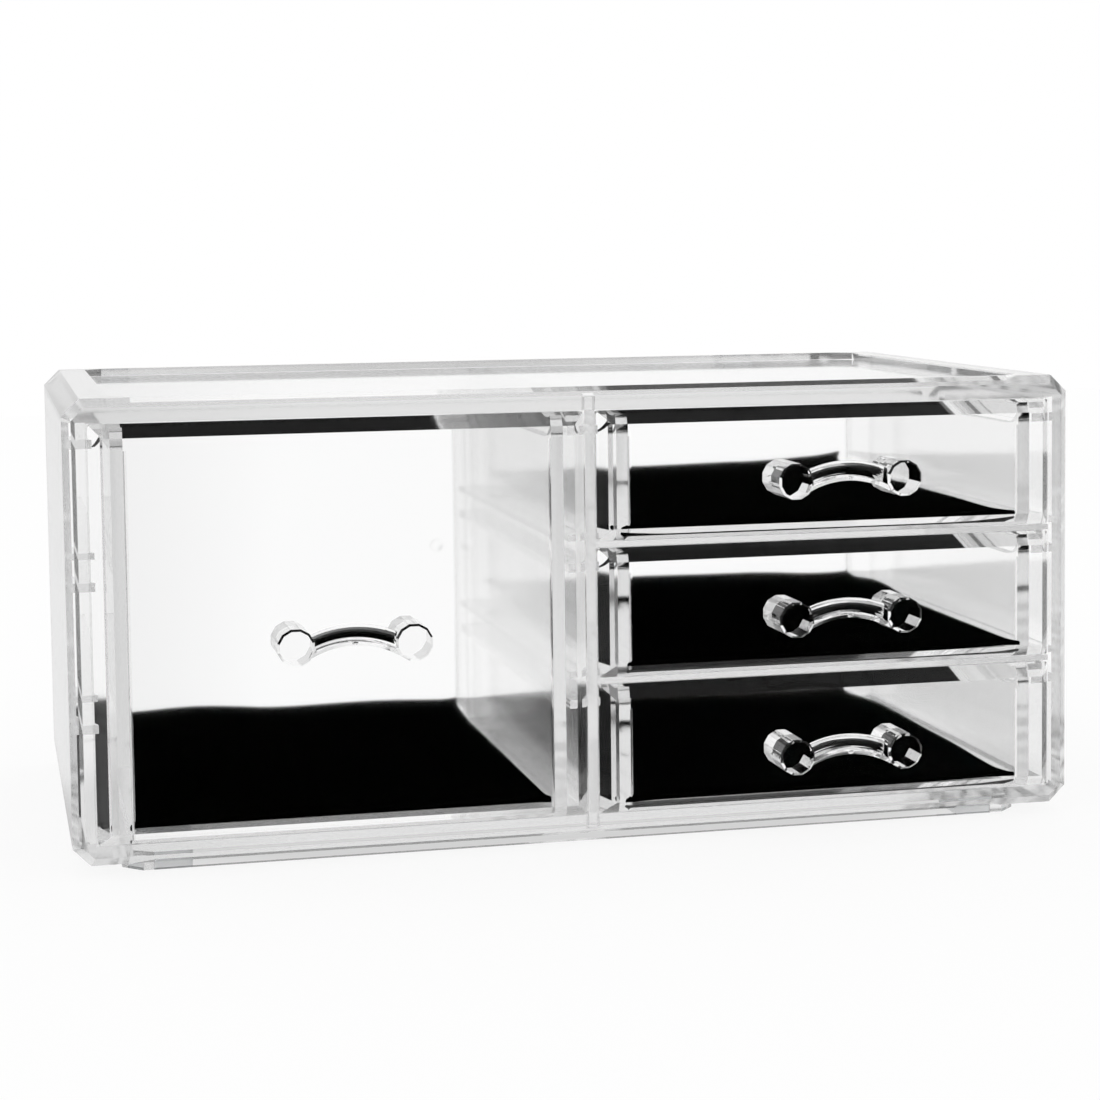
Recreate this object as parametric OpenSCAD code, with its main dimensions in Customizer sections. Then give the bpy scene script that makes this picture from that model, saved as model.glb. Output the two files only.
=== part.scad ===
// Clear stackable cosmetics organizer: an octagonal case with one large drawer
// on the left and three small drawers on the right. Millimetres, +Z up, the
// drawers open towards -Y. The origin is the middle of the footprint, handles
// included, on the plane that the feet stand on.

/* [Case] */
// Width of the case
case_w = 238; // [200:1:280]
// Depth of the case, without the drawer fronts and handles
case_d = 136; // [110:1:170]
// Height of the case body, without the plinth
case_h = 104.6; // [90:0.1:140]
// Leg of the chamfer along the four long corners
corner = 4; // [2:0.5:6]
// Bevel round the front face and round the back face
bevel = 2; // [1:0.1:3]
// Thickness of the side and back walls
wall = 3; // [2:0.1:4]
// Thickness of the floor of the case
floor_t = 3; // [2:0.1:4]
// Width of the front frame at the sides
frame_w = 5.2; // [4.2:0.1:8]
// How far the front frame runs back
frame_d = 5; // [4:0.5:8]
// Height of the sill below the drawers
sill_h = 4.7; // [4.2:0.1:8]
// Height of the head above the drawers
head_h = 5.4; // [5:0.1:8]

/* [Stacking rim] */
// Depth of the stacking recess in the top
recess_h = 2; // [1:0.1:2.4]
// Width of the rim left and right of the recess
rim_side = 10.6; // [6:0.1:16]
// Width of the rim in front of the recess
rim_front = 3.7; // [3.2:0.1:6]
// Width of the rim behind the recess
rim_back = 3; // [2:0.1:6]
// Leg of the chamfer at the corners of the recess
rim_corner = 4.5; // [2:0.5:8]
// Height of the plinth ring below the body
plinth_h = 2.3; // [1.5:0.1:4]
// Width of the plinth ring
plinth_w = 2.5; // [1.5:0.1:4]
// Play between the plinth and the recess of the case below
stack_gap = 0.5; // [0.2:0.1:1]
// Size of the square corner feet
foot_w = 13; // [8:0.5:18]
// How far the feet stand below the plinth ring
foot_proud = 0.3; // [0.1:0.1:1]

/* [Divider and shelves] */
// Thickness of the upright divider
divider_t = 2.4; // [1.5:0.1:4]
// Height of the divider's front tabs above and below the opening
tab_h = 3; // [1:0.1:3.2]
// Depth of those tabs from front to back
tab_d = 3.4; // [2:0.1:3.6]
// Thickness of a shelf
shelf_t = 1.3; // [1:0.1:2.5]
// Thickness of the flange under each side of a shelf
flange_t = 1.5; // [1:0.1:3]
// How far the rails start behind the front of the case
rail_setback = 4; // [2.5:0.1:4.5]
// Height of the ledge that carries the next shelf, above the floor of a bay
ledge_z = 24.8; // [20:0.1:26]
// Thickness of a ledge
ledge_h = 2; // [1:0.1:2.5]
// Thickness of the rail that keeps a shelf down
keeper_h = 1.5; // [1:0.1:2.5]
// Play between a panel and the slot that holds it
slot_gap = 0.1; // [0.05:0.05:0.3]
// Thickness of the two ribs that hold the back of the divider
slot_rib = 1.5; // [1:0.1:2.5]
// How far those ribs stand out from the back wall
slot_rib_d = 3; // [1.5:0.1:4]
// Thickness of the glue under whatever is stuck in place
glue_t = 0.05; // [0.02:0.01:0.2]

/* [Drawers] */
// Play round a drawer front
front_gap = 0.3; // [0.2:0.05:0.8]
// Play above and below a drawer
slide_gap = 0.2; // [0.1:0.05:0.5]
// Width of the bevel round a drawer front
front_inset = 3; // [2:0.1:5]
// How far the bevel rises to the flat of a drawer front
front_rise = 4; // [2:0.1:5]
// Thickness of a drawer front at its edge
front_t = 2.2; // [1.5:0.1:4]
// Radius of the corners of a drawer front
front_r = 1; // [0.3:0.1:3]
// How far a drawer front stands past each side of its tray
front_overhang = 4.8; // [3:0.1:10]
// Wall thickness of a tray
tray_wall = 2.8; // [1.5:0.1:4]
// Thickness of the tray's floor
tray_floor = 2.1; // [1.5:0.1:4]
// Play between a tray and the rails beside it
tray_side_gap = 1.4; // [0.2:0.1:2]
// Play between the walls of a tray and the ledge above them
tray_top_gap = 0.5; // [0.2:0.1:2]
// Space behind a closed tray
tray_back_gap = 1; // [0.5:0.1:4]
// Radius of the corners inside a tray
tray_r = 0.8; // [0.3:0.1:3]
// Height of the sweep where a side wall meets the front
sweep_h = 4; // [2:0.1:5]
// Length of that sweep
sweep_l = 8; // [5:0.5:14]

/* [Handles] */
// Distance between the two posts
post_pitch = 26.2; // [20:0.1:40]
// Width of a post across its flats
post_w = 8.2; // [6:0.1:12]
// How far a post stands out from the front
post_len = 13.6; // [10:0.1:20]
// Chamfer round the face of a post
post_chamfer = 0.5; // [0.2:0.1:1]
// How far a small handle sits below the middle of its front
handle_drop = 1.2; // [0:0.1:3]
// How far the large handle sits below the middle of its front
large_handle_drop = 2; // [0:0.1:3]
// Height of the bar
bar_h = 4.6; // [3:0.1:6]
// Thickness of the bar from front to back
bar_d = 5.4; // [3:0.1:7]
// Height of the chamfers along the bottom of the bar
bar_chamfer = 1; // [0.5:0.1:2]
// Radius of the arch that the bar follows
arch_r = 22; // [18:1:60]
// How far the arch rises above the posts' axes
arch_rise = 2; // [1:0.1:3]
// Setback of the bar from the face of the posts
bar_setback = 0.7; // [0.6:0.1:2]

/* [Mats] */
// Thickness of a small mat
mat_t = 1; // [0.8:0.1:3]
// Thickness of the large mat
large_mat_t = 1.4; // [0.8:0.1:3]
// Gap between a mat and the tray round it
mat_gap = 0.5; // [0.2:0.1:3]
// Gap between the large mat and the large drawer's front
large_mat_front_gap = 5.5; // [0.5:0.5:12]

/* [Hidden] */
$fn = 64;

CLEAR = [0.86, 0.93, 0.96, 0.4];
CLEAR_INNER = [0.80, 0.90, 0.95, 0.45];
CLEAR_HANDLE = [0.75, 0.85, 0.92, 0.7];
BLACK = [0.06, 0.06, 0.06];

// Cutting tools run past the faces that they cut by this much
over = 1;

// Front to back
handle_reach = front_rise + post_len;
front_y = (handle_reach - case_d) / 2;
back_y = front_y + case_d;
bay_back_y = back_y - wall;
rail_y = front_y + rail_setback;
face_y = front_y - front_rise;

// Bottom to top
body_z = foot_proud + plinth_h;
top_z = body_z + case_h;
open_z = body_z + sill_h;
head_z = top_z - head_h;
under_z = open_z - floor_t;
recess_z = top_z - recess_h;

// Left to right
open_x = case_w / 2 - frame_w;
bay_x = case_w / 2 - wall;
column_w = open_x - divider_t / 2;
column_x = (open_x + divider_t / 2) / 2;

// The bays of the small drawers, one above the other
bays = 3;
bay_h = (head_z - open_z - (bays - 1) * shelf_t) / bays;
function bay_z(i) = open_z + i * (bay_h + shelf_t);
top_ledge_z = bay_z(bays - 1) + ledge_z;

// Drawers
front_w = column_w - 2 * front_gap;
tray_w = front_w - 2 * front_overhang;
small_front_h = bay_h - 2 * slide_gap;
large_front_h = head_z - open_z - 2 * slide_gap;
small_tray_h = ledge_z - slide_gap - tray_top_gap;
large_tray_h = top_ledge_z - open_z - slide_gap - tray_top_gap;
guide_w = tray_w + 2 * tray_side_gap;
tray_front_y = front_y + front_t;
tray_back_y = bay_back_y - tray_back_gap;
sweep_r = (sweep_l * sweep_l + sweep_h * sweep_h) / (2 * sweep_h);

// Handles: a circle with this many sides makes the facets of a post
post_sides = 12;
post_r = post_w / 2 / cos(180 / post_sides);
post_face_y = face_y - post_len;
bar_y = post_face_y + bar_setback + bar_d / 2;
bar_reach = post_pitch / 2 - post_w / 4;
bar_angle = asin(bar_reach / arch_r);

// A rectangle of w by h with its corners cut off at 45 degrees, on its centre
module cut_rect(w, h, c) {
    polygon([
        [-w / 2 + c, -h / 2], [w / 2 - c, -h / 2], [w / 2, -h / 2 + c], [w / 2, h / 2 - c],
        [w / 2 - c, h / 2], [-w / 2 + c, h / 2], [-w / 2, h / 2 - c], [-w / 2, -h / 2 + c]
    ]);
}

// A box given by its low corner and its high corner
module span(low, high) {
    translate(low) cube(high - low);
}

// The outline that the plinth and the recess share, drawn in by inset
module stack_outline(inset) {
    w = case_w - 2 * rim_side;
    d = case_d - rim_front - rim_back;
    translate([0, front_y + rim_front + d / 2])
        cut_rect(w - 2 * inset, d - 2 * inset, rim_corner);
}

// Distance from the middle of the octagon to the side that faces angle a
function side_distance(a) =
    a % 90 == 45 ? (case_w / 2 + case_h / 2 - corner) / sqrt(2)
    : a % 180 == 0 ? case_w / 2
    : case_h / 2;

// What the bevels take off each of the eight sides, at the front and at the back
module bevels() {
    for (a = [0:45:315]) {
        d = side_distance(a);
        translate([0, 0, body_z + case_h / 2]) rotate([0, -a, 0])
            linear_extrude(height = case_w + case_h, center = true) {
                polygon([[d - bevel - over, front_y - over], [d + over, front_y - over],
                         [d + over, front_y + bevel + over]]);
                polygon([[d - bevel - over, back_y + over], [d + over, back_y + over],
                         [d + over, back_y - bevel - over]]);
            }
    }
}

// Ledges and keepers on one side of a column, from x0 to x1: a shelf slides in
// between the two, and they guide the drawers
module rails(x0, x1, y1) {
    for (i = [0:bays - 1]) {
        ledge = bay_z(i) + ledge_z;
        span([x0, rail_y, ledge], [x1, y1, ledge + ledge_h]);
        keeper = bay_z(i) + slot_gap;
        if (i > 0) span([x0, rail_y, keeper], [x1, y1, keeper + keeper_h]);
    }
}

// Two ribs on the back wall that hold the divider upright
module divider_slot() {
    x = divider_t / 2 + slot_gap + slot_rib / 2;
    for (s = [-1, 1])
        translate([s * x, bay_back_y, (open_z + head_z) / 2])
            cube([slot_rib, 2 * slot_rib_d, head_z - open_z + 2 * over], center = true);
}

module case_shell() {
    guide_x = column_x + guide_w / 2;
    notch_x = divider_t / 2 + slot_gap;
    color(CLEAR) {
        difference() {
            union() {
                translate([0, back_y, body_z + case_h / 2]) rotate([90, 0, 0])
                    linear_extrude(height = case_d) cut_rect(case_w, case_h, corner);
                translate([0, 0, foot_proud]) linear_extrude(height = plinth_h + over)
                    stack_outline(stack_gap);
            }
            bevels();
            // the bays, behind the narrower opening in the front frame
            span([-open_x, front_y - over, open_z], [open_x, front_y + frame_d + over, head_z]);
            span([-bay_x, front_y + frame_d, open_z], [bay_x, bay_back_y, head_z]);
            // notches for the divider's tabs
            span([-notch_x, front_y - over, open_z - tab_h - slot_gap],
                 [notch_x, front_y + tab_d + slot_gap, head_z + tab_h + slot_gap]);
            // the stacking recess, and the hollow inside the plinth ring
            translate([0, 0, recess_z]) linear_extrude(height = recess_h + over) stack_outline(0);
            linear_extrude(height = under_z) stack_outline(stack_gap + plinth_w);
        }
        rails(-bay_x - over, -guide_x, bay_back_y + over);
        rails(guide_x, bay_x + over, bay_back_y + over);
        divider_slot();
    }
}

// A square foot in the corner of the plinth ring; sx and sy are its sides
module foot(sx, sy) {
    inset = stack_gap + plinth_w + slot_gap;
    x = sx * (case_w / 2 - rim_side - inset - foot_w / 2);
    y = sy > 0 ? back_y - rim_back - inset - foot_w / 2 : front_y + rim_front + inset + foot_w / 2;
    color(CLEAR_INNER) linear_extrude(height = under_z - glue_t) intersection() {
        translate([x, y]) square(foot_w, center = true);
        stack_outline(inset);
    }
}

module foot_front_left() { foot(-1, -1); }
module foot_front_right() { foot(1, -1); }
module foot_back_left() { foot(-1, 1); }
module foot_back_right() { foot(1, 1); }

module divider() {
    guide_x = column_x - guide_w / 2;
    color(CLEAR_INNER) {
        span([-divider_t / 2, front_y, open_z + slot_gap],
             [divider_t / 2, bay_back_y - slot_gap, head_z - slot_gap]);
        span([-divider_t / 2, front_y, open_z - tab_h],
             [divider_t / 2, front_y + tab_d, head_z + tab_h]);
        // the rails stop short of the ribs on the back wall
        rails(-guide_x, guide_x, bay_back_y - slot_rib_d - slot_gap);
    }
}

// Shelf below bay i: a plate on two flanges that stand on the rails below it
module shelf(i) {
    top = bay_z(i);
    flange_z = bay_z(i - 1) + ledge_z + ledge_h + glue_t;
    x0 = divider_t / 2 + slot_gap;
    x1 = open_x - slot_gap;
    y1 = bay_back_y - slot_rib_d - slot_gap;
    y0 = front_y + slot_gap;
    under = top - shelf_t;
    color(CLEAR_INNER) difference() {
        span([x0, y0, flange_z], [x1, y1, top]);
        span([x0 + flange_t, y0 - over, flange_z - over], [x1 - flange_t, y1 + over, under]);
        span([x0 - over, y0 - over, flange_z - over], [x1 + over, rail_y, under]);
    }
}

module lower_shelf() { shelf(1); }
module upper_shelf() { shelf(2); }

// Bevelled front: its edge lies in the frame and its flat stands out of it
module drawer_front(h) {
    intersection() {
        linear_extrude(height = h) polygon([
            [-front_w / 2, front_t], [front_w / 2, front_t], [front_w / 2, 0],
            [front_w / 2 - front_inset, -front_rise], [-front_w / 2 + front_inset, -front_rise],
            [-front_w / 2, 0]
        ]);
        rotate([90, 0, 90]) linear_extrude(height = front_w, center = true) polygon([
            [front_t, 0], [front_t, h], [0, h], [-front_rise, h - front_inset],
            [-front_rise, front_inset], [0, 0]
        ]);
        translate([-front_w / 2, front_t + over, 0]) rotate([90, 0, 0])
            linear_extrude(height = front_t + front_rise + 2 * over) round_rect(front_w, h, front_r);
    }
}

// A rectangle with round corners, from its low corner
module round_rect(w, d, r) {
    translate([r, 0]) square([w - 2 * r, d]);
    translate([0, r]) square([w, d - 2 * r]);
    for (x = [r, w - r], y = [r, d - r]) translate([x, y]) circle(r);
}

// The curve by which the top of a side wall runs up to the front
module wall_sweep() {
    rotate([90, 0, 90]) linear_extrude(height = tray_wall) difference() {
        translate([-over, -over]) square([sweep_l + over, sweep_h + over]);
        translate([sweep_l, sweep_r]) circle(sweep_r);
    }
}

// Middle of the handle above the bottom edge of a front of height h
function handle_z(h) = h / 2 - (h > small_front_h ? large_handle_drop : handle_drop);

// One drawer moulding, in its column s (-1 left, 1 right) with its underside at z
module drawer(s, z, front_h, tray_h) {
    inner_w = tray_w - 2 * tray_wall;
    inner_d = tray_back_y - tray_front_y - tray_wall;
    color(CLEAR) translate([s * column_x, 0, z]) difference() {
        union() {
            translate([0, front_y, 0]) drawer_front(front_h);
            translate([-tray_w / 2, front_y, 0]) cube([tray_w, tray_back_y - front_y, tray_h]);
            for (x = [-tray_w / 2, tray_w / 2 - tray_wall])
                translate([x, tray_front_y, tray_h]) wall_sweep();
        }
        translate([-inner_w / 2, tray_front_y, tray_floor])
            linear_extrude(height = tray_h) round_rect(inner_w, inner_d, tray_r);
    }
}

// A post that stands on the glue, with a chamfer round its face
module post() {
    shank = post_len - post_chamfer;
    translate([0, 0, glue_t]) cylinder(h = shank - glue_t, r = post_r, $fn = post_sides);
    translate([0, 0, shank])
        cylinder(h = post_chamfer, r1 = post_r, r2 = post_r - post_chamfer, $fn = post_sides);
}

// One handle moulding: two faceted posts that are glued to the front, and an arched bar
module handle(s, z, front_h) {
    color(CLEAR_HANDLE) translate([s * column_x, 0, z + handle_z(front_h)]) {
        for (x = [-1, 1]) translate([x * post_pitch / 2, face_y, 0])
            rotate([90, 0, 0]) rotate([0, 0, 180 / post_sides]) post();
        translate([0, bar_y, arch_rise - arch_r]) rotate([90, 0, 0])
            rotate([0, 0, 90 - bar_angle]) rotate_extrude(angle = 2 * bar_angle, $fn = 96)
                translate([arch_r, 0]) bar_section();
    }
}

// Section of the bar: x is up from the arch, y is towards the viewer. A dome stands
// on a flat bottom, with a chamfer along each side of the bottom
module bar_section() {
    polygon(concat(
        [[-bar_h / 2, -bar_d / 4], [-bar_h / 2, bar_d / 4]],
        [for (a = [0:15:180])
            [-bar_h / 2 + bar_chamfer + (bar_h - bar_chamfer) * sin(a), bar_d / 2 * cos(a)]]
    ));
}

// One mat of thickness t, lying on the tray floor
module mat(s, z, front_gap_y, t) {
    w = tray_w - 2 * (tray_wall + mat_gap);
    y0 = tray_front_y + front_gap_y;
    y1 = tray_back_y - tray_wall - mat_gap;
    color(BLACK) translate([s * column_x, 0, z + tray_floor + glue_t])
        span([-w / 2, y0, 0], [w / 2, y1, t]);
}

function drawer_z(i) = bay_z(i) + slide_gap;

module large_drawer() { drawer(-1, drawer_z(0), large_front_h, large_tray_h); }
module lower_drawer() { drawer(1, drawer_z(0), small_front_h, small_tray_h); }
module middle_drawer() { drawer(1, drawer_z(1), small_front_h, small_tray_h); }
module upper_drawer() { drawer(1, drawer_z(2), small_front_h, small_tray_h); }

module large_handle() { handle(-1, drawer_z(0), large_front_h); }
module lower_handle() { handle(1, drawer_z(0), small_front_h); }
module middle_handle() { handle(1, drawer_z(1), small_front_h); }
module upper_handle() { handle(1, drawer_z(2), small_front_h); }

module large_mat() { mat(-1, drawer_z(0), large_mat_front_gap, large_mat_t); }
module lower_mat() { mat(1, drawer_z(0), mat_gap, mat_t); }
module middle_mat() { mat(1, drawer_z(1), mat_gap, mat_t); }
module upper_mat() { mat(1, drawer_z(2), mat_gap, mat_t); }

case_shell();
divider();
lower_shelf();
upper_shelf();
foot_front_left();
foot_front_right();
foot_back_left();
foot_back_right();
large_drawer();
large_handle();
large_mat();
lower_drawer();
lower_handle();
lower_mat();
middle_drawer();
middle_handle();
middle_mat();
upper_drawer();
upper_handle();
upper_mat();
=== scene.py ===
# %% [markdown]
# # Clear cosmetics organizer
# A clear acrylic case holds one deep drawer and three shallow ones. Each drawer
# has a bevelled front, an arched handle and a black velvet mat. The CAD model
# gives every rigid piece its shape. This script adds the looks: how the plastic
# bends and swallows light, soft mats, marks of the mould, a white table, the
# light and the camera. Lengths are in metres, and millimetres carry `* MM`.

# %% The frame
import math
import random

import bmesh
import bpy
from mathutils import Matrix, Vector


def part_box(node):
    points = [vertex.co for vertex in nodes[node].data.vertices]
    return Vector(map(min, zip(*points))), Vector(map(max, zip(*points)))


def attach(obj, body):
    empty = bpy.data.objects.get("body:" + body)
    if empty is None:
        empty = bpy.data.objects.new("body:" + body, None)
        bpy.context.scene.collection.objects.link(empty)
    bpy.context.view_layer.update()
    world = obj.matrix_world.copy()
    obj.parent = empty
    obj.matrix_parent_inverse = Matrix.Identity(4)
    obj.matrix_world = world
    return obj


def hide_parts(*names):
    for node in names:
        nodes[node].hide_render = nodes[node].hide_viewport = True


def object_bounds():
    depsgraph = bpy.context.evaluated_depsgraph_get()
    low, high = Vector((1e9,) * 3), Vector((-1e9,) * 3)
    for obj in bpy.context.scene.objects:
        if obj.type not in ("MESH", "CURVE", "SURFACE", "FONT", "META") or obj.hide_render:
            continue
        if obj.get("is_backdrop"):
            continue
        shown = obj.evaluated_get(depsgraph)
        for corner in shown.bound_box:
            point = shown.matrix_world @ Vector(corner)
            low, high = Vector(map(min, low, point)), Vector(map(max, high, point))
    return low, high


MM = 0.001
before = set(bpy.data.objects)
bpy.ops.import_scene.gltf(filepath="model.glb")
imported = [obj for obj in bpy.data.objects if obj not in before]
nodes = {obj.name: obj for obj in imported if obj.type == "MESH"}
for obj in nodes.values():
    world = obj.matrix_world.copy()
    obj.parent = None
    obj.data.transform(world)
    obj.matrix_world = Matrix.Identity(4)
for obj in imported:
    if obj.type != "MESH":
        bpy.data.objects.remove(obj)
rest_low, rest_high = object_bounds()
case_low, case_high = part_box("case_shell")
print("The case reaches from", case_low[:], "to", case_high[:])

# %% [markdown]
# ## Shader nodes
# Materials can be built by hand in the shader editor, or node by node in code.
# Here code builds them, so that every number can be read. Small helpers keep
# that short: one adds a node and sets its sockets by name, one maps a value
# from a range to another, and one starts a material.

# %% Shader nodes
def add(tree, kind, sockets=None, **settings):
    """Adds a shader node. sockets holds numbers, colours or outputs to link from."""
    node = tree.nodes.new("ShaderNode" + kind)
    for key, value in settings.items():
        setattr(node, key, value)
    for key, value in (sockets or {}).items():
        if isinstance(value, bpy.types.NodeSocket):
            tree.links.new(value, node.inputs[key])
        else:
            node.inputs[key].default_value = value
    return node


def remap(tree, value, from_low, from_high, to_low, to_high):
    """value, eased from one range into another and held at the ends."""
    sockets = {"Value": value, "From Min": from_low, "From Max": from_high,
               "To Min": to_low, "To Max": to_high}
    return add(tree, "MapRange", sockets, interpolation_type="SMOOTHSTEP").outputs["Result"]


def new_material(name):
    """A material with one Principled shader, which is returned with it."""
    material = bpy.data.materials.new(name)
    material.use_nodes = True
    return material, material.node_tree.nodes["Principled BSDF"]


# %% [markdown]
# ## Bumps from noise
# No moulded or woven surface is quite even. Its relief is far too fine for a
# mesh, so it comes from bump nodes. A layer of noise has a size, the width of
# its swellings, and a depth. Layers are chained, so one surface can carry long
# waves and fine grain together. `stretch` draws a layer out along an axis.

# %% Bumps
def noise(tree, size, stretch=(1, 1, 1), detail=2.0):
    """Noise with swellings of the given size, in the piece's own coordinates."""
    place = add(tree, "TexCoord").outputs["Object"]
    scale = [1 / (size * part) for part in stretch]
    points = add(tree, "VectorMath", {0: place, 1: scale}, operation="MULTIPLY")
    sockets = {"Vector": points.outputs["Vector"], "Scale": 1.0, "Detail": detail}
    return add(tree, "TexNoise", sockets).outputs["Fac"]


def bump(tree, height, depth, under=None):
    """A bump layer of the given depth, on top of another one."""
    sockets = {"Height": height, "Distance": depth, "Strength": 1.0}
    if under:
        sockets["Normal"] = under
    return add(tree, "Bump", sockets).outputs["Normal"]


# %% [markdown]
# ## Clear acrylic
# Moulded acrylic is clear across a wall and darker along it. Light that enters
# a bevel runs down the wall like light in a fibre, and a little of it is lost
# on the way, which draws the grey edges. Grey paint on the edges would look
# right from one side only. A volume that absorbs light draws them from every
# side. A black specular tint takes the mirror glare off faces that are seen
# straight on, so that the mats behind them stay black.
#
# The mould leaves waves a few thousandths of a millimetre deep and a faint
# haze. The trays have long upright waves, and the handles are the clearest.

# %% Clear acrylic
ACRYLIC = (0.997, 0.997, 0.997, 1)
ACRYLIC_IOR = 1.49
ABSORPTION = 2.0  # per metre: 0.6 % in a wall, a quarter along the case
RIPPLE_SIZE, RIPPLE_DEPTH = 1.5 * MM, 0.0003 * MM


def new_acrylic(name, wave_size, wave_depth, stretch=(1, 1, 1), haze=0.05):
    """Clear plastic with long waves and a fine ripple from the mould."""
    material, shader = new_material(name)
    tree = material.node_tree
    shader.inputs["Base Color"].default_value = ACRYLIC
    shader.inputs["Transmission Weight"].default_value = 1.0
    shader.inputs["Roughness"].default_value = haze
    shader.inputs["IOR"].default_value = ACRYLIC_IOR
    shader.inputs["Specular Tint"].default_value = (0, 0, 0, 1)
    waves = bump(tree, noise(tree, wave_size, stretch), wave_depth)
    ripple = bump(tree, noise(tree, RIPPLE_SIZE), RIPPLE_DEPTH, waves)
    tree.links.new(ripple, shader.inputs["Normal"])
    smoke = add(tree, "VolumeAbsorption", {"Color": (0, 0, 0, 1), "Density": ABSORPTION})
    output = tree.nodes["Material Output"]
    tree.links.new(smoke.outputs["Volume"], output.inputs["Volume"])
    print(name, "has waves", round(wave_size / MM), "mm wide")
    return material


case_acrylic = new_acrylic("case acrylic", 14 * MM, 0.004 * MM)
panel_acrylic = new_acrylic("panel acrylic", 10 * MM, 0.004 * MM)
tray_acrylic = new_acrylic("tray acrylic", 9 * MM, 0.015 * MM, (1, 1, 12))
handle_acrylic = new_acrylic("handle acrylic", 2 * MM, 0.006 * MM, (6, 1, 1), haze=0.0)

# %% [markdown]
# ## Clear rubber
# The feet are soft, milky pads with a matt skin that has picked up some dust.
# Light that scatters inside them would give the milky look, but it is slow, and
# little is seen of pads this small. A rough surface that lets light through
# looks much the same. Noise spreads the dust and varies the gloss.

# %% Clear rubber
RUBBER_IOR = 1.41
DUSTY, CLEAN = (0.78, 0.80, 0.81, 1), (0.92, 0.93, 0.94, 1)
DUST_SIZE, PATCH_SIZE = 2 * MM, 4 * MM
SATIN, MATT = 0.3, 0.45  # roughness from patch to patch
PIT_SIZE, PIT_DEPTH = 0.4 * MM, 0.01 * MM
rubber, shader = new_material("clear rubber")
tree = rubber.node_tree
dust = add(tree, "ValToRGB", {"Fac": noise(tree, DUST_SIZE, detail=6)})
dust.color_ramp.elements[0].color = DUSTY
dust.color_ramp.elements[1].color = CLEAN
tree.links.new(dust.outputs["Color"], shader.inputs["Base Color"])
skin = remap(tree, noise(tree, PATCH_SIZE), 0.3, 0.7, SATIN, MATT)
tree.links.new(skin, shader.inputs["Roughness"])
shader.inputs["Transmission Weight"].default_value = 0.85
shader.inputs["IOR"].default_value = RUBBER_IOR
tree.links.new(bump(tree, noise(tree, PIT_SIZE), PIT_DEPTH), shader.inputs["Normal"])
print(rubber.name, "has", len(tree.nodes), "nodes")

# %% [markdown]
# ## Dressing the CAD pieces
# The walls, bevels and handles are right as the CAD model has them, so these
# pieces keep their meshes and only get a material. A word in a piece's name
# says which one.

# %% Dressing the CAD pieces
WHICH = {"case_shell": case_acrylic, "divider": panel_acrylic, "foot": rubber,
         "shelf": panel_acrylic, "drawer": tray_acrylic, "handle": handle_acrylic}


def dress(thing, material):
    """Gives a piece one material, in place of those that it has."""
    thing.data.materials.clear()
    thing.data.materials.append(material)


for name, thing in nodes.items():
    for word, material in WHICH.items():
        if word in name:
            dress(thing, material)
print(len(nodes), "CAD pieces")

# %% [markdown]
# ## Velvet
# The mats are black foam with a short pile. Hairs or a layer of sheen could
# draw it. Seen this low the pile shows no sheen at all, and at this distance
# its fibres are finer than a pixel. So noise does it: almost black, with a few
# paler fibre ends, on a nap that lies in patches.

# %% Velvet
PILE_SIZE, PILE_DEPTH = 0.35 * MM, 0.12 * MM
NAP_SIZE, NAP_DEPTH = 6 * MM, 0.15 * MM
FIBRES, FIBRE_ENDS = (0.0012, 0.0012, 0.0012, 1), (0.006, 0.006, 0.0065, 1)
velvet, shader = new_material("black velvet")
tree = velvet.node_tree
pile = noise(tree, PILE_SIZE, detail=4)
tips = add(tree, "ValToRGB", {"Fac": pile})
tips.color_ramp.elements[0].position = 0.55
tips.color_ramp.elements[0].color = FIBRES
tips.color_ramp.elements[1].position = 0.85
tips.color_ramp.elements[1].color = FIBRE_ENDS
tree.links.new(tips.outputs["Color"], shader.inputs["Base Color"])
shader.inputs["Roughness"].default_value = 1.0
shader.inputs["Specular IOR Level"].default_value = 0.0
nap = bump(tree, noise(tree, NAP_SIZE), NAP_DEPTH)
tree.links.new(bump(tree, pile, PILE_DEPTH, nap), shader.inputs["Normal"])
print(velvet.name, "has", len(tree.nodes), "nodes")

# %% [markdown]
# ## Mats
# A mat was cut by hand and has lain in its drawer for a while. Its corners are
# rounded, its edge wanders a little, and its back edge has curled up. In the
# shallow drawers the right edge has curled too, and the mat is cut short of the
# wall there. A cloth simulation could lay a mat down, but a mat this stiff
# keeps the curl that it had. So a formula moves each point of a grid, and every
# run gives the same mat.
#
# The first helpers bend a flat rectangle: they round its corners, let its edge
# wander and lift its back and right edges.

# %% Corners, edges and curls
SWINGS = (1, 2, 5, 9)  # the edge swings in and out this often in each WAVE
WAVE = math.tau / 310  # metres along the edge, about 20 mm
DRAWN_IN = 0.0012  # how far the edge wanders in, as a part of the mat's half size


def round_corner(u, v, half_x, half_y, radius):
    """Moves the point (u, v) of a rectangle so that the corners turn round."""
    dx, dy = abs(u) - (half_x - radius), abs(v) - (half_y - radius)
    if dx <= 0 or dy <= 0:
        return u, v
    dx, dy = dx / radius, dy / radius
    du = radius * dx * (math.sqrt(1 - dy * dy / 2) - 1)
    dv = radius * dy * (math.sqrt(1 - dx * dx / 2) - 1)
    return u + math.copysign(du, u), v + math.copysign(dv, v)


def wander(u, v, phases):
    """Draws a point of the edge in, more in some places than in others."""
    turn = math.tau * (u + v) / WAVE
    swing = sum(math.sin(k * turn + phase) for k, phase in zip(SWINGS, phases))
    shrink = 1 - DRAWN_IN * (1 + swing / len(SWINGS))
    return u * shrink, v * shrink


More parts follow.
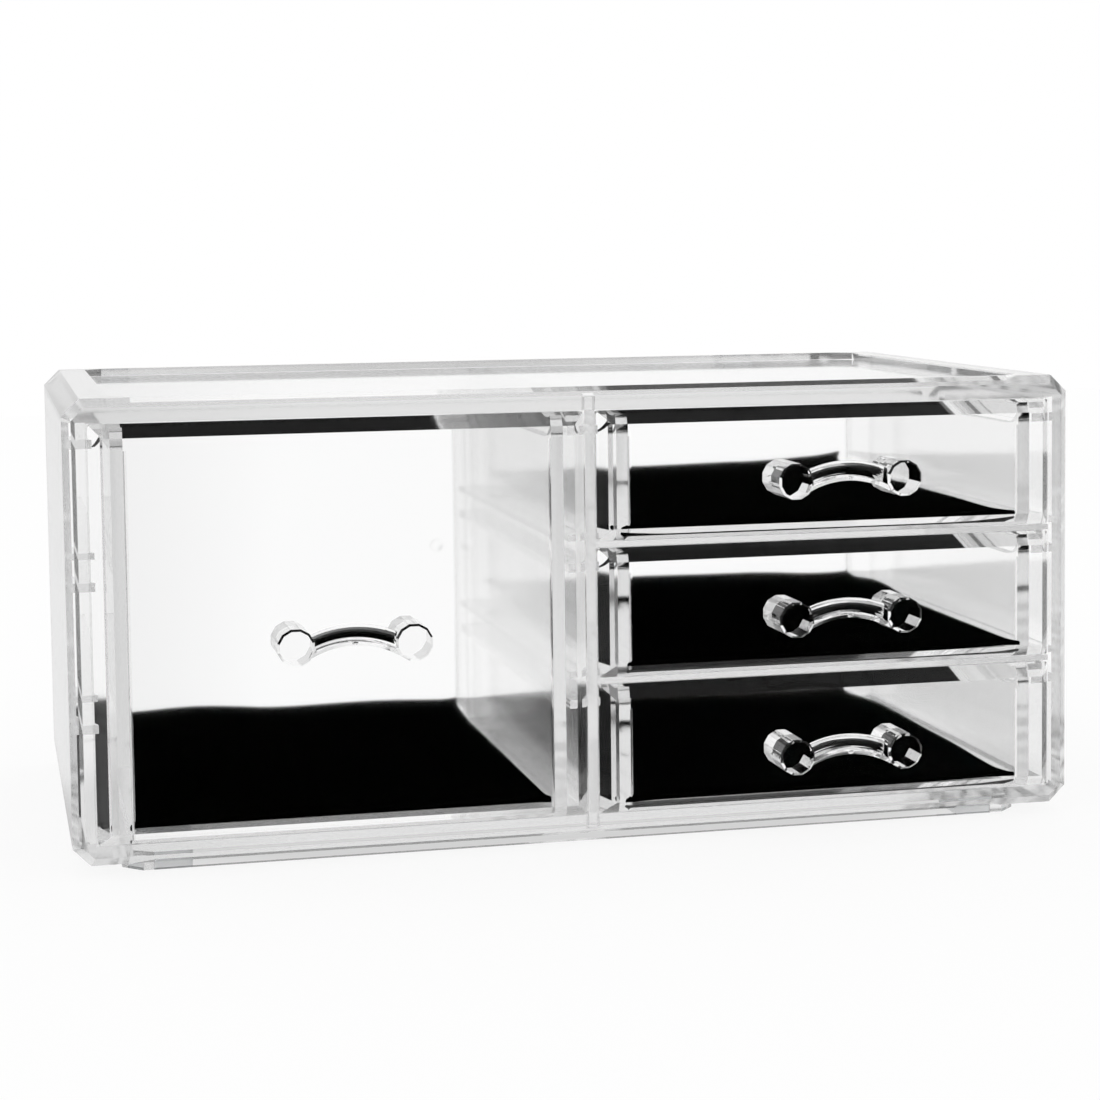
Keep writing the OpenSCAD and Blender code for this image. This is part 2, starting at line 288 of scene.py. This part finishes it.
def ease(levels, t):
    """Runs smoothly through evenly spaced levels while t goes from 0 to 1."""
    t = min(max(t, 0.0), 1.0) * (len(levels) - 1)
    i = min(int(t), len(levels) - 2)
    part = (1 - math.cos(math.pi * (t - i))) / 2
    return levels[i] * (1 - part) + levels[i + 1] * part


def curl(u, v, half_x, half_y, back, right, reach):
    """How far the mat stands off the drawer. back and right are the heights of the
    back edge, from left to right, and of the right edge, from front to back."""
    to_back = max(0.0, (v - half_y + reach) / reach)
    to_right = max(0.0, (u - half_x + reach) / reach)
    rise = ease(back, (u / half_x + 1) / 2) * to_back ** 2
    return max(rise, ease(right, (v / half_y + 1) / 2) * to_right ** 2)


# %% [markdown]
# A mat is two sheets of the same grid, joined by a soft rim that bulges between
# them. Its velvet top is a little smaller than the foam under it.

# %% The shape of a mat
GRID = 2 * MM
TOP_INSET, BOTTOM_INSET = 0.25 * MM, 0.1 * MM
BULGE = 0.6  # how high the rim is widest, as a part of the thickness


def make_piece(mesh, name, material):
    """Turns a finished bmesh into a piece with one material."""
    data = bpy.data.meshes.new(name)
    mesh.to_mesh(data)
    mesh.free()
    thing = bpy.data.objects.new(name, data)
    bpy.context.scene.collection.objects.link(thing)
    dress(thing, material)
    return thing


def make_mat(node, back, right, reach, front_r, back_r, short, seed):
    """A velvet mat in the space of its CAD node, cut short of it on the right."""
    low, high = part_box(node)
    centre, half = (low + high) / 2, (high - low) / 2
    thick = high.z - low.z
    chance = random.Random(seed)
    phases = [chance.uniform(0, math.tau) for _ in SWINGS]
    columns, rows = round(2 * half.x / GRID), round(2 * half.y / GRID)
    rim = [(i, 0) for i in range(columns)] + [(columns, j) for j in range(rows)]
    rim += [(i, rows) for i in range(columns, 0, -1)] + [(0, j) for j in range(rows, 0, -1)]
    mesh = bmesh.new()

    def point(i, j, inset, height):
        x_room, y_room = half.x - inset, half.y - inset
        u, v = x_room * (2 * i / columns - 1), y_room * (2 * j / rows - 1)
        u, v = round_corner(u, v, x_room, y_room, front_r if v < 0 else back_r)
        if i in (0, columns) or j in (0, rows):
            u, v = wander(u, v, phases)
        u -= short * (u / half.x + 1) / 2
        z = low.z + height + curl(u, v, half.x, half.y, back, right, reach)
        return mesh.verts.new((centre.x + u, centre.y + v, z))

    def sheet(inset, height, flip):
        grid = [[point(i, j, inset, height) for j in range(rows + 1)]
                for i in range(columns + 1)]
        for i in range(columns):
            for j in range(rows):
                corners = [grid[i][j], grid[i + 1][j], grid[i + 1][j + 1], grid[i][j + 1]]
                mesh.faces.new(corners[::-1] if flip else corners)
        return [grid[i][j] for i, j in rim]

    top = sheet(TOP_INSET, thick, False)
    bottom = sheet(BOTTOM_INSET, 0.0, True)
    middle = [point(i, j, 0.0, BULGE * thick) for i, j in rim]
    for upper, lower in ((top, middle), (middle, bottom)):
        for k in range(len(rim)):
            n = (k + 1) % len(rim)
            mesh.faces.new([upper[n], upper[k], lower[k], lower[n]])
    for face in mesh.faces:
        face.smooth = True
    return make_piece(mesh, node + "_velvet", velvet)


# %% [markdown]
# Each mat has heights along its back and right edges, which run smoothly into
# each other. `reach` is how far from the edge the curl starts, `front_r` and
# `back_r` are the radii of its corners, and `short` is what is cut off it.

# %% Four mats
FLAT = (0, 0)
MATS = {
    "large": dict(back=(3.2 * MM, 4.0 * MM, 2.6 * MM, 2.9 * MM, 2.2 * MM), right=FLAT,
                  reach=30 * MM, front_r=3 * MM, back_r=4 * MM, short=0, seed=1),
    "upper": dict(back=(2.0 * MM, 2.2 * MM, 2.6 * MM, 3.8 * MM),
                  right=(0.5 * MM, 1.0 * MM, 1.4 * MM, 1.6 * MM),
                  reach=32 * MM, front_r=10 * MM, back_r=10 * MM, short=3.6 * MM, seed=2),
    "middle": dict(back=(2.6 * MM, 2.9 * MM, 2.6 * MM, 1.2 * MM),
                   right=(0.5 * MM, 0.6 * MM, 0.8 * MM, 3.0 * MM, 1.2 * MM),
                   reach=28 * MM, front_r=5 * MM, back_r=16 * MM, short=0.6 * MM, seed=3),
    "lower": dict(back=(1.4 * MM, 1.2 * MM, 0.4 * MM, 0),
                  right=(0.6 * MM, 1.8 * MM, 2.4 * MM, 0),
                  reach=30 * MM, front_r=8 * MM, back_r=16 * MM, short=3.0 * MM, seed=4),
}
for name, form in MATS.items():
    mat = make_mat(name + "_mat", **form)
    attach(mat, name + "_drawer_unit")
    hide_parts(name + "_mat")
    print(mat.name, "has", len(mat.data.polygons), "faces")

# %% [markdown]
# ## Marks of the mould
# Plastic flows into a mould through a small gate, and a gate leaves a nub where
# it was cut off. There is one on the back wall and one on each handle's bar. A
# bump in the material would vanish at the outline, so each nub is a low dome.
# A ray finds the surface that it sits on, because the bars are arched.

# %% Gate nubs
RINGS, SIDES = 4, 20
OFF_SURFACE = 0.02 * MM  # keeps the faces of nub and piece apart
INWARDS = Vector((0, 1, 0))  # from the front of the organizer to its back


def dome(radius, height):
    """A dome that stands on the plane z = 0."""
    mesh = bmesh.new()
    loops = []
    for r in range(RINGS):
        tilt = math.pi / 2 * r / RINGS
        loops.append([mesh.verts.new((radius * math.cos(tilt) * math.cos(math.tau * k / SIDES),
                                      radius * math.cos(tilt) * math.sin(math.tau * k / SIDES),
                                      height * math.sin(tilt))) for k in range(SIDES)])
    top = mesh.verts.new((0, 0, height))
    mesh.faces.new(loops[0][::-1])
    for lower, upper in zip(loops, loops[1:]):
        for k in range(SIDES):
            n = (k + 1) % SIDES
            mesh.faces.new([lower[k], lower[n], upper[n], upper[k]])
    for k in range(SIDES):
        mesh.faces.new([loops[-1][k], loops[-1][(k + 1) % SIDES], top])
    return mesh


def make_nub(body, node, radius, height, start):
    """A clear dome where a ray from start, straight back, meets a CAD piece."""
    surface = nodes[node]
    inverse = surface.matrix_world.inverted()
    hit, place, normal, _ = surface.ray_cast(inverse @ start, inverse.to_3x3() @ INWARDS)
    if not hit:
        raise RuntimeError("no surface for a nub on " + node)
    thing = make_piece(dome(radius, height), node + "_gate_nub", handle_acrylic)
    normal = (surface.matrix_world.to_3x3() @ normal).normalized()
    foot = surface.matrix_world @ place + normal * OFF_SURFACE
    tilt = normal.to_track_quat("Z", "Y").to_matrix().to_4x4()
    thing.matrix_world = Matrix.Translation(foot) @ tilt
    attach(thing, body)
    print(thing.name, "at", thing.matrix_world.translation[:])


# %% [markdown]
# A bar's nub is a hair above the middle of the handle. The one on the back
# wall is larger and is seen through the deep drawer.

# %% Five nubs
BAR_NUB = dict(radius=0.75 * MM, height=0.5 * MM)
WALL_NUB = dict(radius=1.8 * MM, height=1.2 * MM)
UP, IN_FRONT = 0.4 * MM, 10 * MM
for name in MATS:
    low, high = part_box(name + "_handle")
    start = Vector(((low.x + high.x) / 2, low.y - IN_FRONT, (low.z + high.z) / 2 + UP))
    make_nub(name + "_drawer_unit", name + "_handle", start=start, **BAR_NUB)
in_bay = Vector((-13.5 * MM, 0, 56 * MM))
make_nub("case", "case_shell", start=in_bay, **WALL_NUB)

# %% [markdown]
# ## The table
# The organizer stands on a sheet of white paper, in front of a white backdrop.
# The camera sees the paper white, with a faint shadow under the case. What the
# plastic bends or mirrors shows the same paper: white behind the object, and
# dimmer towards the sides and under the case. A real backdrop and dark panels
# could be modelled, but here one function gives the backdrop's light for any
# direction, and both the paper and the room use it.

# %% Light round the object
BEHIND = (0.22, 0.975, 0)  # the way the camera looks
BRIGHT, DIM = 1.04, 0.5
DIM_BELOW, BRIGHT_ABOVE = 0.4, 0.9  # cosines of the angle to BEHIND
LEFT, RIGHT = 0.75, 1.25
LEFT_BELOW, RIGHT_ABOVE = -0.15, 0.45  # how far sideways a direction points


def backdrop(tree, direction):
    """BRIGHT behind the object, easing to DIM round the sides, stronger on the right, and
    never brighter than white."""
    flat = add(tree, "VectorMath", {0: direction, 1: (1, 1, 0)}, operation="MULTIPLY")
    unit = add(tree, "VectorMath", {0: flat.outputs["Vector"]}, operation="NORMALIZE")
    sockets = {0: unit.outputs["Vector"], 1: BEHIND}
    facing = add(tree, "VectorMath", sockets, operation="DOT_PRODUCT")
    lined_up = add(tree, "Math", {0: facing.outputs["Value"]}, operation="ABSOLUTE")
    level = remap(tree, lined_up.outputs["Value"], DIM_BELOW, BRIGHT_ABOVE, DIM, BRIGHT)
    sideways = add(tree, "SeparateXYZ", {"Vector": unit.outputs["Vector"]}).outputs["X"]
    across = remap(tree, sideways, LEFT_BELOW, RIGHT_ABOVE, LEFT, RIGHT)
    sockets = {0: level, 1: across}
    return add(tree, "Math", sockets, operation="MULTIPLY", use_clamp=True).outputs["Value"]


# %% White paper
PAPER_WHITE = (0.97, 0.97, 0.97, 1)
GRAIN_SIZE, GRAIN_DEPTH = 1 * MM, 0.01 * MM
paper, shader = new_material("white paper")
tree = paper.node_tree
shader.inputs["Base Color"].default_value = PAPER_WHITE
shader.inputs["Roughness"].default_value = 1.0
shader.inputs["Specular IOR Level"].default_value = 0.0
tree.links.new(bump(tree, noise(tree, GRAIN_SIZE), GRAIN_DEPTH), shader.inputs["Normal"])
print(paper.name, "has a grain of", GRAIN_SIZE / MM, "mm")

# %% [markdown]
# The plastic mirrors the paper as a glow, which is dimmer under the case. The
# camera sees mostly plain white, and a tenth of the lit paper with its shadow.

# %% What is seen of the paper
SEEN_FROM = (case_low.x, case_low.y - 330 * MM, 0)  # directions on the paper start here
FOOTPRINT = (125 * MM, 75 * MM)  # half the width and depth of what the case darkens
UNDER_CASE, OPEN = 0.65, 1.0
SHADE_FROM, SHADE_TO = 0.8, 1.3  # in footprints from the middle
PLAIN_WHITE = 0.9
place = add(tree, "NewGeometry").outputs["Position"]
scale = (1 / FOOTPRINT[0], 1 / FOOTPRINT[1], 0)
outwards = add(tree, "VectorMath", {0: place, 1: scale}, operation="MULTIPLY")
away = add(tree, "VectorMath", {0: outwards.outputs["Vector"]}, operation="LENGTH")
shade = remap(tree, away.outputs["Value"], SHADE_FROM, SHADE_TO, UNDER_CASE, OPEN)
ahead = add(tree, "VectorMath", {0: place, 1: SEEN_FROM}, operation="SUBTRACT")
level = add(tree, "Math", {0: backdrop(tree, ahead.outputs["Vector"]), 1: shade},
            operation="MULTIPLY")
glow = add(tree, "Emission", {"Strength": level.outputs["Value"]})
white = add(tree, "Emission", {"Strength": 1.0})
path = add(tree, "LightPath")
mirrored = add(tree, "MixShader", {"Fac": path.outputs["Is Glossy Ray"],
                                   1: shader.outputs["BSDF"], 2: glow.outputs["Emission"]})
seen = add(tree, "Math", {0: path.outputs["Is Camera Ray"], 1: PLAIN_WHITE},
           operation="MULTIPLY")
paper_look = add(tree, "MixShader", {"Fac": seen.outputs["Value"],
                                     1: mirrored.outputs["Shader"],
                                     2: white.outputs["Emission"]})
tree.links.new(paper_look.outputs["Shader"], tree.nodes["Material Output"].inputs["Surface"])
print(paper.name, "has", len(tree.nodes), "nodes")

# %% Floor
FLOOR_SIZE = 3.0
bpy.ops.mesh.primitive_plane_add(size=FLOOR_SIZE, location=(0, 0, rest_low.z))
floor = bpy.context.object
floor.name = "floor"
dress(floor, paper)
floor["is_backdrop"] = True
print("The floor is", FLOOR_SIZE, "m wide")

# %% [markdown]
# ## Light
# One even white room lights the object, as a light tent does. Lamps would leave
# a bright patch in every pane. What the plastic shows of the room follows the
# backdrop, and its ceiling is darker than its walls.

# %% Light
CEILING, WALLS = 0.7, 1.0
WALLS_BELOW, CEILING_ABOVE = 0.3, 0.9  # how steeply a direction points up
world = bpy.data.worlds.new("white room")
bpy.context.scene.world = world
world.use_nodes = True
tree = world.node_tree
tree.nodes.clear()
direction = add(tree, "TexCoord").outputs["Generated"]
upwards = add(tree, "SeparateXYZ", {"Vector": direction}).outputs["Z"]
overhead = remap(tree, upwards, WALLS_BELOW, CEILING_ABOVE, WALLS, CEILING)
level = add(tree, "Math", {0: backdrop(tree, direction), 1: overhead}, operation="MULTIPLY")
room = add(tree, "Background", {"Color": (1, 1, 1, 1), "Strength": level.outputs["Value"]})
plain = add(tree, "Background", {"Color": (1, 1, 1, 1), "Strength": 1.0})
path = add(tree, "LightPath")
even = add(tree, "Math", {0: path.outputs["Is Camera Ray"], 1: path.outputs["Is Diffuse Ray"]},
           operation="MAXIMUM")
sky = add(tree, "MixShader", {"Fac": even.outputs["Value"], 1: room.outputs["Background"],
                              2: plain.outputs["Background"]})
output = add(tree, "OutputWorld", {"Surface": sky.outputs["Shader"]})
print(world.name, "has", len(tree.nodes), "nodes")

# %% [markdown]
# ## Light paths
# Light that runs along a wall is turned back dozens of times, so the limits on
# bounces are high. With low limits the bevels fill with black dashes.

# %% Light paths
scene = bpy.context.scene
MANY = 96
scene.cycles.max_bounces = MANY
scene.cycles.transmission_bounces = MANY
scene.cycles.glossy_bounces = MANY
scene.cycles.diffuse_bounces = 4
scene.cycles.transparent_max_bounces = 16
scene.view_settings.view_transform = "Standard"
print("Up to", MANY, "bounces")

# %% [markdown]
# ## Camera
# A camera can be placed by eye, but straight edges tell more. This one was
# fitted to the straight edges of the case, which also gave its proportions. It
# stands to the left of the middle, a little above the top, and looks slightly
# right and down.

# %% Camera
camera_data = bpy.data.cameras.new("camera")
camera = bpy.data.objects.new("camera", camera_data)
scene.collection.objects.link(camera)
scene.camera = camera
camera_data.lens = 84.7
camera_data.sensor_width = 36.0
camera_data.shift_x = -0.0648
camera_data.shift_y = -0.1007
OFF_CASE = Vector((-137.1, -578.7, 139.8)) * MM  # from the low front edge of the case body
BODY_HEIGHT = 104.6 * MM
YAW, PITCH, ROLL = (math.radians(angle) for angle in (14.03, 4.56, -0.59))
turn = Matrix.Rotation(-YAW, 4, "Z") @ Matrix.Rotation(math.radians(90) - PITCH, 4, "X")
turn = turn @ Matrix.Rotation(ROLL, 4, "Z")
stand = OFF_CASE + Vector((0, case_low.y, case_high.z - BODY_HEIGHT))
camera.matrix_world = Matrix.Translation(stand) @ turn
print("The camera stands at", stand[:])

# %% [markdown]
# ## Size
# Its box is measured before and after the work.

# %% Size
low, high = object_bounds()
